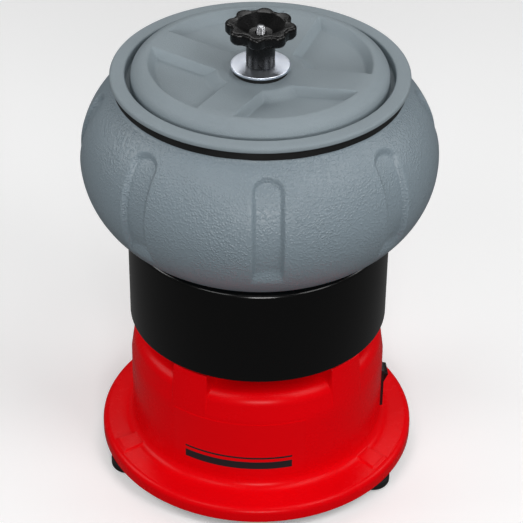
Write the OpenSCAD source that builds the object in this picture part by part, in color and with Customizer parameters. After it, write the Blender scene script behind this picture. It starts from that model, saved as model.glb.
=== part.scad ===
// Vibratory rock tumbler: a sprung motor drum carrying a lidded bowl on a moulded base.
// Origin at the bottom centre, on the surface that the feet stand on. +Z is up, -Y is the front.

/* [Bowl] */
// Outside diameter of the bowl at its widest
bowl_d = 235; // [231:1:239]
// Radius of the bowl's round section
bowl_section_r = 60; // [59:0.5:61]
// Height of the middle of the bowl's section above the floor
bowl_mid_z = 235; // [234:0.5:236]
// Thickness of the bowl's wall
bowl_wall = 4; // [3:0.5:5]
// Number of flutes pressed into the outside of the bowl
flute_count = 8; // [4:1:10]
// How deep a flute goes into the wall
flute_depth = 2.2; // [1:0.1:2.6]

/* [Lid and knob] */
// Outside diameter of the lid's flange
lid_d = 193; // [190:1:198]
// Diameter of the lid's raised middle
dome_d = 166; // [160:1:168]
// Width of the ribs that cross the lid
lid_rib_w = 24; // [18:1:30]
// Depth of the four pockets between the ribs
pocket_depth = 5.8; // [4:0.2:6.4]
// Outside diameter of the star knob
knob_d = 45.6; // [40:0.2:50]
// Number of lobes on the star knob
knob_lobes = 8; // [6:1:9]
// Nominal diameter of the threaded rod
rod_d = 6; // [5:0.5:6.5]

/* [Motor drum] */
// Outside diameter of the motor drum
drum_d = 176; // [172:1:180]
// Height of the drum's lower edge above the floor
drum_z0 = 110; // [109.5:0.5:111]
// Height of the drum's upper rim above the floor
drum_z1 = 180; // [178:0.5:181]
// Thickness of the drum's wall
drum_wall = 3; // [2:0.5:4]
// Diameter of the motor shaft
shaft_d = 8; // [6:0.5:9]

/* [Base] */
// Outside diameter of the base's foot flange
flange_d = 220; // [216:1:226]
// Outside diameter of the base's tower
tower_d = 176; // [175:0.5:177]
// Height of the shoulder where the tower turns inwards
shoulder_z = 88; // [86:1:89]
// Height of the turrets that hold the springs
turret_z = 107.2; // [105:0.2:107.4]
// Wall thickness of the base moulding
base_wall = 3; // [2.5:0.5:3.5]
// Number of feet
foot_count = 3; // [3:1:3]

/* [Hidden] */

$fn = 96;
eps = 0.01;          // how far a cutter runs past the face that it opens

// Bowl
bowl_ring_r = bowl_d / 2 - bowl_section_r;   // radius of the circle that the section's middle runs on
bowl_floor_z = bowl_mid_z - bowl_section_r;  // underside of the bowl
rim_z = bowl_mid_z + 49.5;                   // step that the gasket rests on
rim_r = 93.4;                                // outside of the bowl's neck
mouth_r = 89.6;                              // inside of the bowl's neck
lip_r0 = 90.9;                               // thin lip that holds the gasket
lip_r1 = 92.9;
lip_h = 3;
hub_foot_r = 24;                             // hollow cone in the middle of the bowl
hub_top_r = 9;
hub_top_z = bowl_floor_z + 48;
flute_w = 19;
flute_r = 1.4 * flute_w;                     // radius of the round scoop that forms a flute
flute_turn = 3;                              // the front flute lies a little to the right
flute_low = -31;                             // where a flute starts and where its arch starts,
flute_arch = 36;                             // as angles round the bowl's section

// Lid
flange_under_z = rim_z + 6;                  // the gasket is six thick when it is squeezed
flange_top_z = flange_under_z + 4;
lid_top_z = flange_top_z + 7;
lid_skin = 2.6;
groove_r = dome_d / 2 + 3.7;
dome_edge_r = 4;                             // rounding of the raised middle's edge
plug_z = rim_z - 0.5;                        // lowest point of the lid's plug
dish_r0 = 19.5;                              // flat seat under the washers
dish_r1 = 68;
dish_drop = 7.2;                             // the ribs slope down to the middle
pocket_r0 = 28;                              // inner and outer edges of the pockets
pocket_r1 = 71.5;
rib_turn = 67.3;                             // direction of the first rib
seat_z = lid_top_z - dish_drop;
rod_hole_r = rod_d / 2 + 0.5;

// Washers and knob
rubber_washer_h = 3.2;
steel_washer_h = 1.8;
knob_z0 = seat_z + rubber_washer_h + steel_washer_h;
knob_hub_r = 9.3;
knob_flange_z0 = knob_z0 + 20.3;
knob_flange_z1 = knob_z0 + 28.8;
rod_top_z = knob_z0 + 27;
insert_r = 5.5;
insert_h = 14;
thread_clear = 0.06;

// Drum and motor
drum_r = drum_d / 2;
drum_inner_r = drum_r - drum_wall;
deck_z1 = bowl_floor_z - 1.5;                // top of the plate that the bowl stands on
deck_z0 = deck_z1 - 2.5;
plate_z1 = drum_z0 + 3;
stator_r = 42;
stator_z0 = drum_z0 + 15;
stator_h = 22;
stator_z1 = stator_z0 + stator_h;
rotor_r = 22;
air_gap = 0.5;
slot_count = 12;
slot_w = 5;
slot_r0 = 26;
slot_r1 = 36;
winding_h = 6.6;                             // height of the winding outside the core at each end
shaft_r = shaft_d / 2;
shaft_z0 = 82;
shaft_z1 = 164;
bearing_r = 11;
bearing_h = 7;
bearing_clear = 0.04;
bearing_seat_r = 7;                          // hole behind each bearing
hub_r = bearing_r + 3;
arm_w = 8;
arm_h = 3;
lower_bearing_z = plate_z1 + 1;
upper_bearing_z = stator_z1 + 4;
upper_hub_z1 = upper_bearing_z + bearing_h + 1;
upper_arm_z = stator_z1 + winding_h + 1;
bolt_circle_r = 48;
bolt_r = 2;
plate_screw_ring_r = drum_r - 7;
plate_screw_turn = 6.3;                      // halfway between two springs
cup_r = 11.2;
weight_hub_r = 9;
weight_screw_r = 2;
lower_weight_z = shaft_z0 + 2;
lower_weight_h = 14;
upper_weight_z = upper_hub_z1 + 0.6;
upper_weight_h = shaft_z1 - upper_weight_z;

// Base
tower_r = tower_d / 2;
flange_r = flange_d / 2;
rim_bottom_z = 7;
flange_z = 18;                               // top of the flange at its outer edge
top_hole_r = 50;                             // opening that the lower weight hangs in
spring_ring_r = 73;
spring_turns = [-31.8, 44.4, 148.2, 224.4];  // directions of the springs from the front
turret_w = 27;
spring_pocket_r = 10.4;
spring_z0 = 72;
spring_z1 = drum_z0 + 7;
spring_coil_r = 7.9;
spring_wire_r = 1.1;
spring_coils = 6;
foot_ring_r = 99;
foot_turn = -65;                             // direction of the first foot
pad_half_angle = 4.5;                        // the flange's pads reach this far each side of a foot
foot_r = 12.2;
foot_h = 8;
foot_spigot_r = 7.7;                         // step of a foot that fits inside the flange's rim
cover_z0 = 8;
cover_z1 = 10.5;
switch_turn = 94;
switch_z = 41;
switch_w = 22;
switch_h = 30.5;
switch_flat_r = 86.8;
rocker_rest = 11;                            // half of the rocker's full throw, in degrees
rocker_l = switch_h - 8.8;
rocker_w = switch_w - 8.8;
stub_r = 1.4;
stub_l = rocker_w + 2.8;
bushing_turn = 186;
bushing_z = 36;
bushing_bore_r = 3.6;
bushing_r = 6.4;
bushing_flange_r = 9;
bushing_seat_r = tower_r - 0.4;              // flat spot that the bushing's flange sits on
label_z0 = 30;
label_z1 = 74;
label_turn0 = -39;
label_turn1 = 22;

// ---- helpers -------------------------------------------------------------------------------

// Points of an arc about [cx, cz], from angle a0 to a1
function arc(cx, cz, r, a0, a1, n = 6) =
  [for (i = [0:n]) let (a = a0 + (a1 - a0) * i / n) [cx + r * cos(a), cz + r * sin(a)]];

// Places children at a distance from the axis, in a direction counted from the front
module out_at(turn, r = 0, z = 0) {
  rotate([0, 0, turn - 90]) translate([r, 0, z]) children();
}

module ring(r1, r0, z0, z1) {
  difference() {
    translate([0, 0, z0]) cylinder(r = r1, h = z1 - z0);
    translate([0, 0, z0 - 1]) cylinder(r = r0, h = z1 - z0 + 2);
  }
}

module hex_nut(flats, bore_r, z0, h) {
  difference() {
    translate([0, 0, z0]) cylinder(r = flats / sqrt(3), h = h, $fn = 6);
    translate([0, 0, z0 - 1]) cylinder(r = bore_r, h = h + 2, $fn = 48);
  }
}

// A pan-head screw with a cross recess, its head downwards and its shank upwards from z0
module pan_screw(head_r, head_h, shank_r, shank_l, z0) {
  difference() {
    union() {
      translate([0, 0, z0 - head_h]) cylinder(r1 = head_r * 0.8, r2 = head_r, h = head_h, $fn = 32);
      translate([0, 0, z0 - eps]) cylinder(r = shank_r, h = shank_l, $fn = 32);
    }
    for (a = [0, 90]) rotate([0, 0, a])
      translate([-head_r * 0.55, -head_r * 0.11, z0 - head_h - 1])
        cube([head_r * 1.1, head_r * 0.22, head_h * 0.5 + 1]);
  }
}

// Points of a coil spring's wire, ring by ring: flat ends and even turns between them
coil_steps = 18;
wire_sides = 6;
function coil_z(t, turns, z0, z1, wire_r) =
  let (
    low = z0 + wire_r,
    high = z1 - wire_r,
    grip = 2.1 * wire_r,
    k = t < 1 ? 0 : t > turns - 1 ? 1 : (t - 1) / (turns - 2)
  )
  t < 1 ? low + grip * t
    : t > turns - 1 ? high - grip * (turns - t)
    : low + grip + (high - low - 2 * grip) * k;

module coil_spring(turns, coil_r, wire_r, z0, z1) {
  count = turns * coil_steps;
  points = [
    for (i = [0:count], j = [0:wire_sides - 1])
      let (
        t = i / coil_steps,
        a = 360 * t,
        b = 360 * j / wire_sides,
        r = coil_r + wire_r * cos(b)
      )
      [r * cos(a), r * sin(a), coil_z(t, turns, z0, z1, wire_r) + wire_r * sin(b)]
  ];
  sides = [
    for (i = [0:count - 1], j = [0:wire_sides - 1])
      let (a = i * wire_sides, b = a + wire_sides, k = (j + 1) % wire_sides)
      [a + j, a + k, b + k, b + j]
  ];
  first = [for (j = [wire_sides - 1:-1:0]) j];
  last = [for (j = [0:wire_sides - 1]) count * wire_sides + j];
  polyhedron(points, concat([first], sides, [last]));
}

// ---- base ----------------------------------------------------------------------------------

base_outline = concat(
  arc(flange_r - 2, rim_bottom_z + 2, 2, -90, 0, 4),
  arc(flange_r - 4.5, flange_z - 4.5, 4.5, 0, 90, 6),
  [[96, flange_z + 1.2]],
  arc(tower_r + 7, flange_z + 8.4, 7, 260, 180, 6),
  [[tower_r, shoulder_z - 12]],
  arc(tower_r - 11.6, shoulder_z - 1.5, 10, 8, 62, 6),
  [[70, shoulder_z + 10.6], [top_hole_r, shoulder_z + 12]]
);
base_inside = concat(
  [[top_hole_r, shoulder_z + 12 - base_wall], [70, shoulder_z + 10.6 - base_wall]],
  arc(tower_r - 11.6, shoulder_z - 1.5, 10 - base_wall, 62, 8, 6),
  [[tower_r - base_wall, shoulder_z - 12]],
  [[tower_r - base_wall, flange_z + 5], [tower_r + 4, flange_z - base_wall + 1.2]],
  arc(flange_r - 4.5, flange_z - 4.5, 4.5 - base_wall, 90, 0, 3),
  [[flange_r - base_wall, rim_bottom_z]]
);

module turret(turn) {
  intersection() {
    translate([0, 0, 60]) cylinder(r1 = tower_r, r2 = tower_r - 2.6, h = turret_z - 60);
    out_at(turn) translate([58, -turret_w / 2, 60]) cube([40, turret_w, turret_z - 60]);
  }
}

// A low raised pad on the flange's top, over a foot
module foot_pad(turn) {
  rotate([0, 0, turn - 90 - pad_half_angle]) rotate_extrude(angle = 2 * pad_half_angle)
    polygon([[92, flange_z - 1], [106, flange_z - 1], [105.2, flange_z + 1.8], [92, flange_z + 3.3]]);
}

module base_shell() color("red") {
  difference() {
    union() {
      rotate_extrude() polygon(concat(base_outline, base_inside));
      for (turn = spring_turns) turret(turn);
      for (i = [0:foot_count - 1]) foot_pad(foot_turn + i * 360 / foot_count);
      for (i = [0:2 * foot_count - 1]) out_at(foot_turn + i * 180 / foot_count, foot_ring_r, cover_z1)
        cylinder(r = 4.5, h = flange_z - base_wall + 1 - cover_z1, $fn = 32);
    }
    for (turn = spring_turns) out_at(turn, spring_ring_r, spring_z0) cylinder(r = spring_pocket_r, h = 60);
    for (i = [0:2 * foot_count - 1]) out_at(foot_turn + i * 180 / foot_count, foot_ring_r, cover_z1 - 1)
      cylinder(r = 1.6, h = 5.4, $fn = 32);
    // flat and window for the switch
    out_at(switch_turn) translate([switch_flat_r, -switch_w / 2 - 1.5, switch_z - switch_h / 2 - 1.5])
      cube([6, switch_w + 3, switch_h + 3]);
    out_at(switch_turn) translate([60, -switch_w / 2 + 2, switch_z - switch_h / 2 + 2])
      cube([40, switch_w - 4, switch_h - 4]);
    // hole for the cord bushing, and a flat spot for its flange
    out_at(bushing_turn, 70, bushing_z) rotate([0, 90, 0]) cylinder(r = bushing_r + 0.1, h = 40, $fn = 48);
    out_at(bushing_turn, bushing_seat_r, bushing_z) rotate([0, 90, 0])
      cylinder(r = bushing_flange_r + 0.2, h = 10, $fn = 64);
  }
}

module base_cover() color("dimgray") {
  difference() {
    translate([0, 0, cover_z0]) cylinder(r = flange_r - base_wall - 0.3, h = cover_z1 - cover_z0);
    for (i = [0:2 * foot_count - 1]) out_at(foot_turn + i * 180 / foot_count, foot_ring_r, 0)
      cylinder(r = 1.8, h = 20, $fn = 32);
    // cooling slots
    for (r = [26, 40, 54], i = [0:7]) out_at(i * 45 + 22.5, r, 0)
      translate([-2.5, -6, 0]) cube([5, 12, 20]);
  }
}

module cover_screws() color("silver") {
  for (i = [0:foot_count - 1])
    out_at(foot_turn + (i + 0.5) * 360 / foot_count, foot_ring_r) pan_screw(3.4, 2.2, 1.5, 6, cover_z0);
}

module rubber_feet() color("black") {
  for (i = [0:foot_count - 1]) out_at(foot_turn + i * 360 / foot_count, foot_ring_r)
    rotate_extrude($fn = 48) polygon(concat(
      [[4.2, 0]],
      arc(foot_r - 3, 3, 3, -90, 0, 5),
      [[foot_r, rim_bottom_z - 0.2], [foot_spigot_r, rim_bottom_z - 0.2], [foot_spigot_r, foot_h],
       [1.9, foot_h], [1.9, 4.5], [4.2, 4.5]]
    ));
}

module foot_screws() color("silver") {
  for (i = [0:foot_count - 1])
    out_at(foot_turn + i * 360 / foot_count, foot_ring_r) pan_screw(3.6, 2.4, 1.5, 10, 4.5);
}

module front_label() color("black") {
  rotate([0, 0, label_turn0 - 90]) rotate_extrude(angle = label_turn1 - label_turn0)
    translate([tower_r, label_z0]) square([0.3, label_z1 - label_z0]);
}

module switch_housing() color("black") {
  out_at(switch_turn, switch_flat_r, switch_z) difference() {
    union() {
      // bezel on the flat, and the body behind it
      translate([0, -switch_w / 2, -switch_h / 2]) cube([2.4, switch_w, switch_h]);
      translate([-22, -switch_w / 2 + 2.2, -switch_h / 2 + 2.2])
        cube([22.5, switch_w - 4.4, switch_h - 4.4]);
    }
    // well for the rocker, and the sockets for its stubs
    translate([-9, -switch_w / 2 + 4, -switch_h / 2 + 4]) cube([20, switch_w - 8, switch_h - 8]);
    rotate([90, 0, 0]) cylinder(r = stub_r + 0.05, h = stub_l + 0.4, center = true, $fn = 48);
  }
  // terminals at the back
  out_at(switch_turn, switch_flat_r, switch_z) for (y = [-4.5, 4.5], z = [-7, 7])
    translate([-30, y - 2.2, z - 0.4]) cube([8.1, 4.4, 0.8]);
}

// The rocker turns on two stubs in the housing; one end stands proud at each end of its throw
module switch_rocker() color("black") {
  out_at(switch_turn, switch_flat_r, switch_z) rotate([0, rocker_rest, 0]) rotate([90, 0, 0]) {
    linear_extrude(rocker_w, center = true) polygon([
      [-5, -2.5], [0, -rocker_l / 2 + 1.5], [2.6, -rocker_l / 2 + 0.4], [4.2, -rocker_l / 2 + 1.0],
      [1.9, 0],
      [4.2, rocker_l / 2 - 1.0], [2.6, rocker_l / 2 - 0.4], [0, rocker_l / 2 - 1.5], [-5, 2.5]
    ]);
    cylinder(r = stub_r, h = stub_l, center = true, $fn = 48);
  }
}

module cord_bushing() color("black") {
  out_at(bushing_turn, bushing_seat_r, bushing_z) rotate([0, 90, 0]) rotate_extrude($fn = 64)
    polygon([
      [bushing_bore_r, -6.6], [bushing_r, -6.6], [bushing_r, 0], [bushing_flange_r, 0],
      [bushing_flange_r, 2.8], [6.8, 3.6], [5.6, 14.4], [bushing_bore_r, 14.4]
    ]);
}

module terminal_block() color("ivory") {
  translate([-16, 58, cover_z1]) difference() {
    cube([32, 17, 13]);
    for (i = [0:2]) {
      translate([6 + i * 10, 5, 4]) cylinder(r = 2.2, h = 12, $fn = 32);
      translate([6 + i * 10, 12, 4]) cylinder(r = 2.2, h = 12, $fn = 32);
      translate([6 + i * 10, -1, 5]) rotate([-90, 0, 0]) cylinder(r = 1.7, h = 20, $fn = 32);
    }
  }
}

module suspension_springs() color("silver") {
  for (turn = spring_turns) out_at(turn, spring_ring_r)
    coil_spring(spring_coils, spring_coil_r, spring_wire_r, spring_z0, spring_z1);
}

// ---- motor drum ----------------------------------------------------------------------------

module drum_shell() color([0.05, 0.05, 0.05]) {
  rotate_extrude($fn = 128) polygon(concat(
    [[drum_inner_r, drum_z0]],
    arc(drum_r - 1.2, drum_z0 + 1.2, 1.2, -90, 0, 3),
    arc(drum_r - 2.6, drum_z1 - 2.6, 2.6, 0, 90, 5),
    [[82, drum_z1], [80, deck_z1], [rod_d / 2 + 0.1, deck_z1], [rod_d / 2 + 0.1, deck_z0],
     [drum_inner_r, deck_z0]]
  ));
  // lugs inside the wall take the plate's screws
  for (i = [0:3]) out_at(plate_screw_turn + i * 90) difference() {
    translate([plate_screw_ring_r - 4, -4.5, plate_z1])
      cube([drum_inner_r - plate_screw_ring_r + 5, 9, 9]);
    translate([plate_screw_ring_r, 0, plate_z1 - 1]) cylinder(r = 1.6, h = 11, $fn = 32);
  }
}

module motor_plate() color("gray") {
  difference() {
    translate([0, 0, drum_z0]) cylinder(r = drum_inner_r, h = plate_z1 - drum_z0);
    translate([0, 0, drum_z0 - 1]) cylinder(r = 9, h = 6);
    for (turn = spring_turns) out_at(turn, spring_ring_r, drum_z0 - 1) cylinder(r = cup_r, h = 6);
    for (i = [0:3]) {
      out_at(45 + i * 90, bolt_circle_r, drum_z0 - 1) cylinder(r = bolt_r, h = 6, $fn = 32);
      out_at(plate_screw_turn + i * 90, plate_screw_ring_r, drum_z0 - 1) cylinder(r = 1.6, h = 6, $fn = 32);
      // cooling holes round the bearing
      out_at(i * 90, 26, drum_z0 - 1) cylinder(r = 7, h = 6);
    }
  }
}

module plate_screws() color("silver") {
  for (i = [0:3]) out_at(plate_screw_turn + i * 90, plate_screw_ring_r) pan_screw(3, 1.8, 1.5, 9, drum_z0);
}

module spring_cups() color("black") {
  for (turn = spring_turns) out_at(turn, spring_ring_r) rotate_extrude($fn = 64) polygon([
    [0, spring_z1], [cup_r - 1.5, spring_z1], [cup_r - 1.5, drum_z0], [cup_r, drum_z0], [cup_r, plate_z1],
    [cup_r + 0.6, plate_z1], [cup_r + 0.6, spring_z1 + 2], [0, spring_z1 + 2]
  ]);
}

// A bearing bracket: a hub that holds the bearing, four arms, and a rim with bolt ears on the stator
module bracket(rim_z0, rim_z1, arm_z, hub_z0, hub_z1, seat_z0, seat_z1) {
  difference() {
    union() {
      ring(stator_r + 1.5, slot_r1 + 2.5, rim_z0, rim_z1);
      translate([0, 0, hub_z0]) cylinder(r = hub_r, h = hub_z1 - hub_z0);
      for (a = [0:90:270]) rotate([0, 0, a]) translate([bearing_r, -arm_w / 2, arm_z])
        cube([stator_r - bearing_r - 2, arm_w, arm_h]);
      for (i = [0:3]) out_at(45 + i * 90) {
        translate([stator_r, -6, rim_z0]) cube([bolt_circle_r - stator_r, 12, rim_z1 - rim_z0]);
        translate([bolt_circle_r, 0, rim_z0]) cylinder(r = 6, h = rim_z1 - rim_z0, $fn = 48);
      }
    }
    for (i = [0:3]) out_at(45 + i * 90, bolt_circle_r, rim_z0 - 1)
      cylinder(r = bolt_r + 0.05, h = rim_z1 - rim_z0 + 2, $fn = 32);
    translate([0, 0, hub_z0 - 1]) cylinder(r = bearing_seat_r, h = hub_z1 - hub_z0 + 2);
    translate([0, 0, seat_z0]) cylinder(r = bearing_r, h = seat_z1 - seat_z0);
  }
}

module lower_bracket() color("silver")
  bracket(
    rim_z0 = plate_z1, rim_z1 = stator_z0, arm_z = plate_z1,
    hub_z0 = plate_z1, hub_z1 = lower_bearing_z + bearing_h,
    seat_z0 = lower_bearing_z, seat_z1 = lower_bearing_z + bearing_h + 1
  );

module upper_bracket() color("silver")
  bracket(
    rim_z0 = stator_z1, rim_z1 = upper_arm_z + arm_h, arm_z = upper_arm_z,
    hub_z0 = upper_bearing_z, hub_z1 = upper_hub_z1,
    seat_z0 = upper_bearing_z - 1, seat_z1 = upper_bearing_z + bearing_h
  );

module bracket_bolts() color("silver") {
  top = upper_arm_z + arm_h;
  for (i = [0:3]) out_at(45 + i * 90, bolt_circle_r) {
    translate([0, 0, drum_z0 - 1.6]) cylinder(r = 3.6, h = 1.6, $fn = 32);
    translate([0, 0, drum_z0 - eps]) cylinder(r = bolt_r, h = top + 4.5 - drum_z0, $fn = 32);
    hex_nut(7, bolt_r, top, 3.2);
  }
}

module ball_bearing(z0) {
  difference() {
    ring(bearing_r, shaft_r + bearing_clear, z0, z0 + bearing_h);
    // the shield's step on each side
    for (z = [z0 - 1, z0 + bearing_h - 0.5]) ring(9.2, 5.8, z, z + 1.5);
  }
}
module ball_bearings() color("lightgray") {
  ball_bearing(lower_bearing_z);
  ball_bearing(upper_bearing_z);
}

module stator_core() color("slategray") {
  difference() {
    ring(stator_r, rotor_r + air_gap, stator_z0, stator_z1);
    for (i = [0:slot_count - 1]) rotate([0, 0, i * 360 / slot_count]) {
      translate([slot_r0, -slot_w / 2, stator_z0 - 1]) cube([slot_r1 - slot_r0, slot_w, stator_h + 2]);
      translate([rotor_r - 2, -1, stator_z0 - 1]) cube([slot_r0 - rotor_r + 4, 2, stator_h + 2]);
    }
  }
}

module stator_windings() color("peru") {
  for (i = [0:slot_count - 1]) rotate([0, 0, i * 360 / slot_count])
    translate([slot_r0 + 0.4, -slot_w / 2 + 0.3, stator_z0 - 1])
      cube([slot_r1 - slot_r0 - 0.8, slot_w - 0.6, stator_h + 2]);
  for (z = [stator_z0 - winding_h - 0.4, stator_z1 + 0.4]) ring(slot_r1, slot_r0 + 0.4, z, z + winding_h);
}

module rotor_core() color("gray") {
  difference() {
    union() {
      translate([0, 0, stator_z0]) cylinder(r = rotor_r, h = stator_h);
      // cast end rings
      translate([0, 0, stator_z0 - 3]) cylinder(r = rotor_r - 3, h = stator_h + 6);
    }
    translate([0, 0, stator_z0 - 4]) cylinder(r = shaft_r, h = stator_h + 8);
  }
}

module motor_shaft() color("silver") {
  translate([0, 0, shaft_z0 + 1]) cylinder(r = shaft_r, h = shaft_z1 - shaft_z0 - 1);
  translate([0, 0, shaft_z0]) cylinder(r1 = shaft_r - 1, r2 = shaft_r, h = 1);
}

// A half-disc weight with a round hub, clamped to the shaft by a set screw
module eccentric_weight(r, z0, h) {
  difference() {
    union() {
      intersection() {
        translate([0, 0, z0]) cylinder(r = r, h = h);
        translate([0, -r, z0 - 1]) cube([r + 1, 2 * r, h + 2]);
      }
      translate([0, 0, z0]) cylinder(r = weight_hub_r, h = h);
    }
    translate([0, 0, z0 - 1]) cylinder(r = shaft_r, h = h + 2);
    translate([-20, 0, z0 + h / 2]) rotate([0, 90, 0])
      cylinder(r = min(weight_screw_r, h / 4), h = 18, $fn = 32);
  }
}
module lower_weight() color("dimgray") eccentric_weight(34, lower_weight_z, lower_weight_h);
module upper_weight() color("dimgray") eccentric_weight(30, upper_weight_z, upper_weight_h);

// Set screws; the thin upper weight takes a thinner one
module weight_screw(z0, h) {
  r = min(weight_screw_r, h / 4);
  translate([-weight_hub_r, 0, z0 + h / 2]) rotate([0, 90, 0]) difference() {
    cylinder(r = r, h = weight_hub_r - shaft_r, $fn = 32);
    translate([0, 0, -1]) cylinder(r = r / 2, h = 3, $fn = 6);
  }
}
module weight_screws() color("black") {
  weight_screw(lower_weight_z, lower_weight_h);
  weight_screw(upper_weight_z, upper_weight_h);
}

// ---- bowl ----------------------------------------------------------------------------------

module centre_rod() color("silver") {
  z0 = deck_z0 - 6;
  translate([0, 0, z0]) cylinder(r = rod_d / 2, h = rod_top_z - 0.6 - z0);
  translate([0, 0, rod_top_z - 0.6]) cylinder(r1 = rod_d / 2, r2 = rod_d / 2 - 0.6, h = 0.6);
}

module rod_nuts() color("silver") {
  hex_nut(10, rod_d / 2, deck_z0 - 5, 5);
  hex_nut(10, rod_d / 2, deck_z1, 5);
}

module bowl_pad() color("black") ring(66, 27, deck_z1, bowl_floor_z);

bowl_outline = concat(
  arc(bowl_ring_r, bowl_mid_z, bowl_section_r, -90, 50, 28),
  [[rim_r, rim_z - 1.5], [rim_r, rim_z], [lip_r1, rim_z], [lip_r1, rim_z + lip_h],
   [lip_r0, rim_z + lip_h], [lip_r0, rim_z], [mouth_r, rim_z], [mouth_r, bowl_mid_z + 46]],
  arc(bowl_ring_r, bowl_mid_z, bowl_section_r - bowl_wall, 54, -90, 24),
  [[hub_foot_r + 5, bowl_floor_z + bowl_wall], [hub_top_r + 5, hub_top_z], [rod_hole_r, hub_top_z],
   [rod_hole_r, hub_top_z - 5], [hub_top_r, hub_top_z - 5], [hub_foot_r, bowl_floor_z]]
);

// A scoop that follows the section's curve, with a square lower end and an arched upper end
module flute(turn) {
  bend_r = bowl_section_r - flute_depth + flute_r;
  out_at(turn, bowl_ring_r, bowl_mid_z) rotate([90, 0, 0]) {
    rotate([0, 0, flute_low]) rotate_extrude(angle = flute_arch - flute_low, $fn = 64)
      translate([bend_r, 0]) circle(r = flute_r, $fn = 64);
    rotate([0, 0, flute_arch]) translate([bend_r, 0, 0]) sphere(r = flute_r, $fn = 64);
  }
}

module bowl() color("slategray") {
  difference() {
    rotate_extrude($fn = 128) polygon(bowl_outline);
    for (i = [0:flute_count - 1]) flute(flute_turn + i * 360 / flute_count);
  }
}

module bowl_washer() color("silver") ring(12, rod_d / 2 + 0.2, hub_top_z, hub_top_z + 1.6);
module bowl_nut() color("silver") hex_nut(10, rod_d / 2, hub_top_z + 1.6, 5);

module rim_gasket() color("black") {
  rotate_extrude($fn = 128) polygon([
    [mouth_r, rim_z], [lip_r0, rim_z], [lip_r0, rim_z + lip_h], [lip_r1, rim_z + lip_h],
    [lip_r1, rim_z], [rim_r + 0.8, rim_z], [rim_r + 0.8, flange_under_z - 0.8],
    [rim_r, flange_under_z], [mouth_r + 0.4, flange_under_z], [mouth_r, flange_under_z - 0.4]
  ]);
}

// ---- lid -----------------------------------------------------------------------------------

lid_r = lid_d / 2;
dome_r = dome_d / 2;
plug_r = mouth_r - 0.4;
function dish_z(r) = lid_top_z - dish_drop * (dish_r1 - r) / (dish_r1 - dish_r0);
lid_outline = concat(
  arc(lid_r - 1.2, flange_under_z + 1.2, 1.2, -90, 0, 3),
  arc(lid_r - 1.6, flange_top_z - 1.6, 1.6, 0, 90, 4),
  arc(groove_r + 1, flange_top_z - 1, 1, 90, 180, 3),
  [[groove_r, plug_z + lid_skin], [dome_r, plug_z + lid_skin]],
  arc(dome_r - dome_edge_r, lid_top_z - dome_edge_r, dome_edge_r, 0, 90, 6),
  [[dish_r1, lid_top_z], [dish_r0, seat_z], [rod_hole_r, seat_z]],
  // underside, from the middle outwards: a thick hub, then below the pockets
  [[rod_hole_r, seat_z - 9], [24, seat_z - 9],
   [dome_r - lid_skin - 4, dish_z(dome_r - 6) - pocket_depth - lid_skin],
   [dome_r - lid_skin, dish_z(dome_r - 6) - pocket_depth - lid_skin - 2],
   [dome_r - lid_skin, plug_z], [plug_r, plug_z], [plug_r, flange_under_z]]
);

// A pocket between two ribs: its floor follows the dish, and all of its walls slope
module lid_pocket(turn) {
  tilt = atan(dish_drop / (dish_r1 - dish_r0));
  rotate([0, 0, turn]) intersection() {
    rotate_extrude() polygon([
      [pocket_r0, dish_z(pocket_r0) + 1], [pocket_r0, dish_z(pocket_r0)],
      [pocket_r0 + 2 * pocket_depth, dish_z(pocket_r0 + 2 * pocket_depth) - pocket_depth],
      [pocket_r1 - pocket_depth, dish_z(pocket_r1 - pocket_depth) - pocket_depth],
      [pocket_r1, lid_top_z], [pocket_r1, lid_top_z + 1]
    ]);
    // held back from each rib by a sloping plane that dips with the rib
    translate([dish_r0, lid_rib_w / 2, seat_z]) rotate([0, -tilt, 0]) rotate([-45, 0, 0])
      translate([-30, -60, 0]) cube([120, 160, 60]);
    translate([lid_rib_w / 2, dish_r0, seat_z]) rotate([tilt, 0, 0]) rotate([0, 45, 0])
      translate([-60, -30, 0]) cube([160, 120, 60]);
  }
}

module lid() color("lightslategray") {
  difference() {
    rotate_extrude($fn = 128) polygon(lid_outline);
    for (i = [0:3]) lid_pocket(rib_turn + i * 90);
  }
}

module rubber_washer() color("black") ring(17.9, rod_hole_r, seat_z, seat_z + rubber_washer_h);
module steel_washer() color("white")
  ring(19.35, rod_d / 2 + 0.3, seat_z + rubber_washer_h, knob_z0);

// ---- knob ----------------------------------------------------------------------------------

module knob_insert() color("gold") ring(insert_r, rod_d / 2 + thread_clear, knob_z0, knob_z0 + insert_h);

module star_knob() color("black") {
  lobe_r = 5.2;
  lobe_ring = knob_d / 2 - lobe_r;
  difference() {
    union() {
      translate([0, 0, knob_z0]) cylinder(r = knob_hub_r, h = knob_flange_z0 - knob_z0 + 1);
      translate([0, 0, knob_flange_z0]) cylinder(r = lobe_ring + 2.4, h = knob_flange_z1 - knob_flange_z0);
      for (i = [0:knob_lobes - 1]) rotate([0, 0, 82 + i * 360 / knob_lobes])
        translate([lobe_ring, 0, knob_flange_z0])
        cylinder(r = lobe_r, h = knob_flange_z1 - knob_flange_z0, $fn = 48);
    }
    // dished top
    translate([0, 0, knob_flange_z1 - 6.2]) cylinder(r1 = 7, r2 = lobe_ring, h = 6.2 + eps);
    translate([0, 0, knob_z0 - 1]) cylinder(r = insert_r + 0.05, h = insert_h + 1.1);
    translate([0, 0, knob_z0 - 1]) cylinder(r = rod_d / 2 + 0.3, h = 40);
  }
}

// ---- assembly ------------------------------------------------------------------------------

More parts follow.
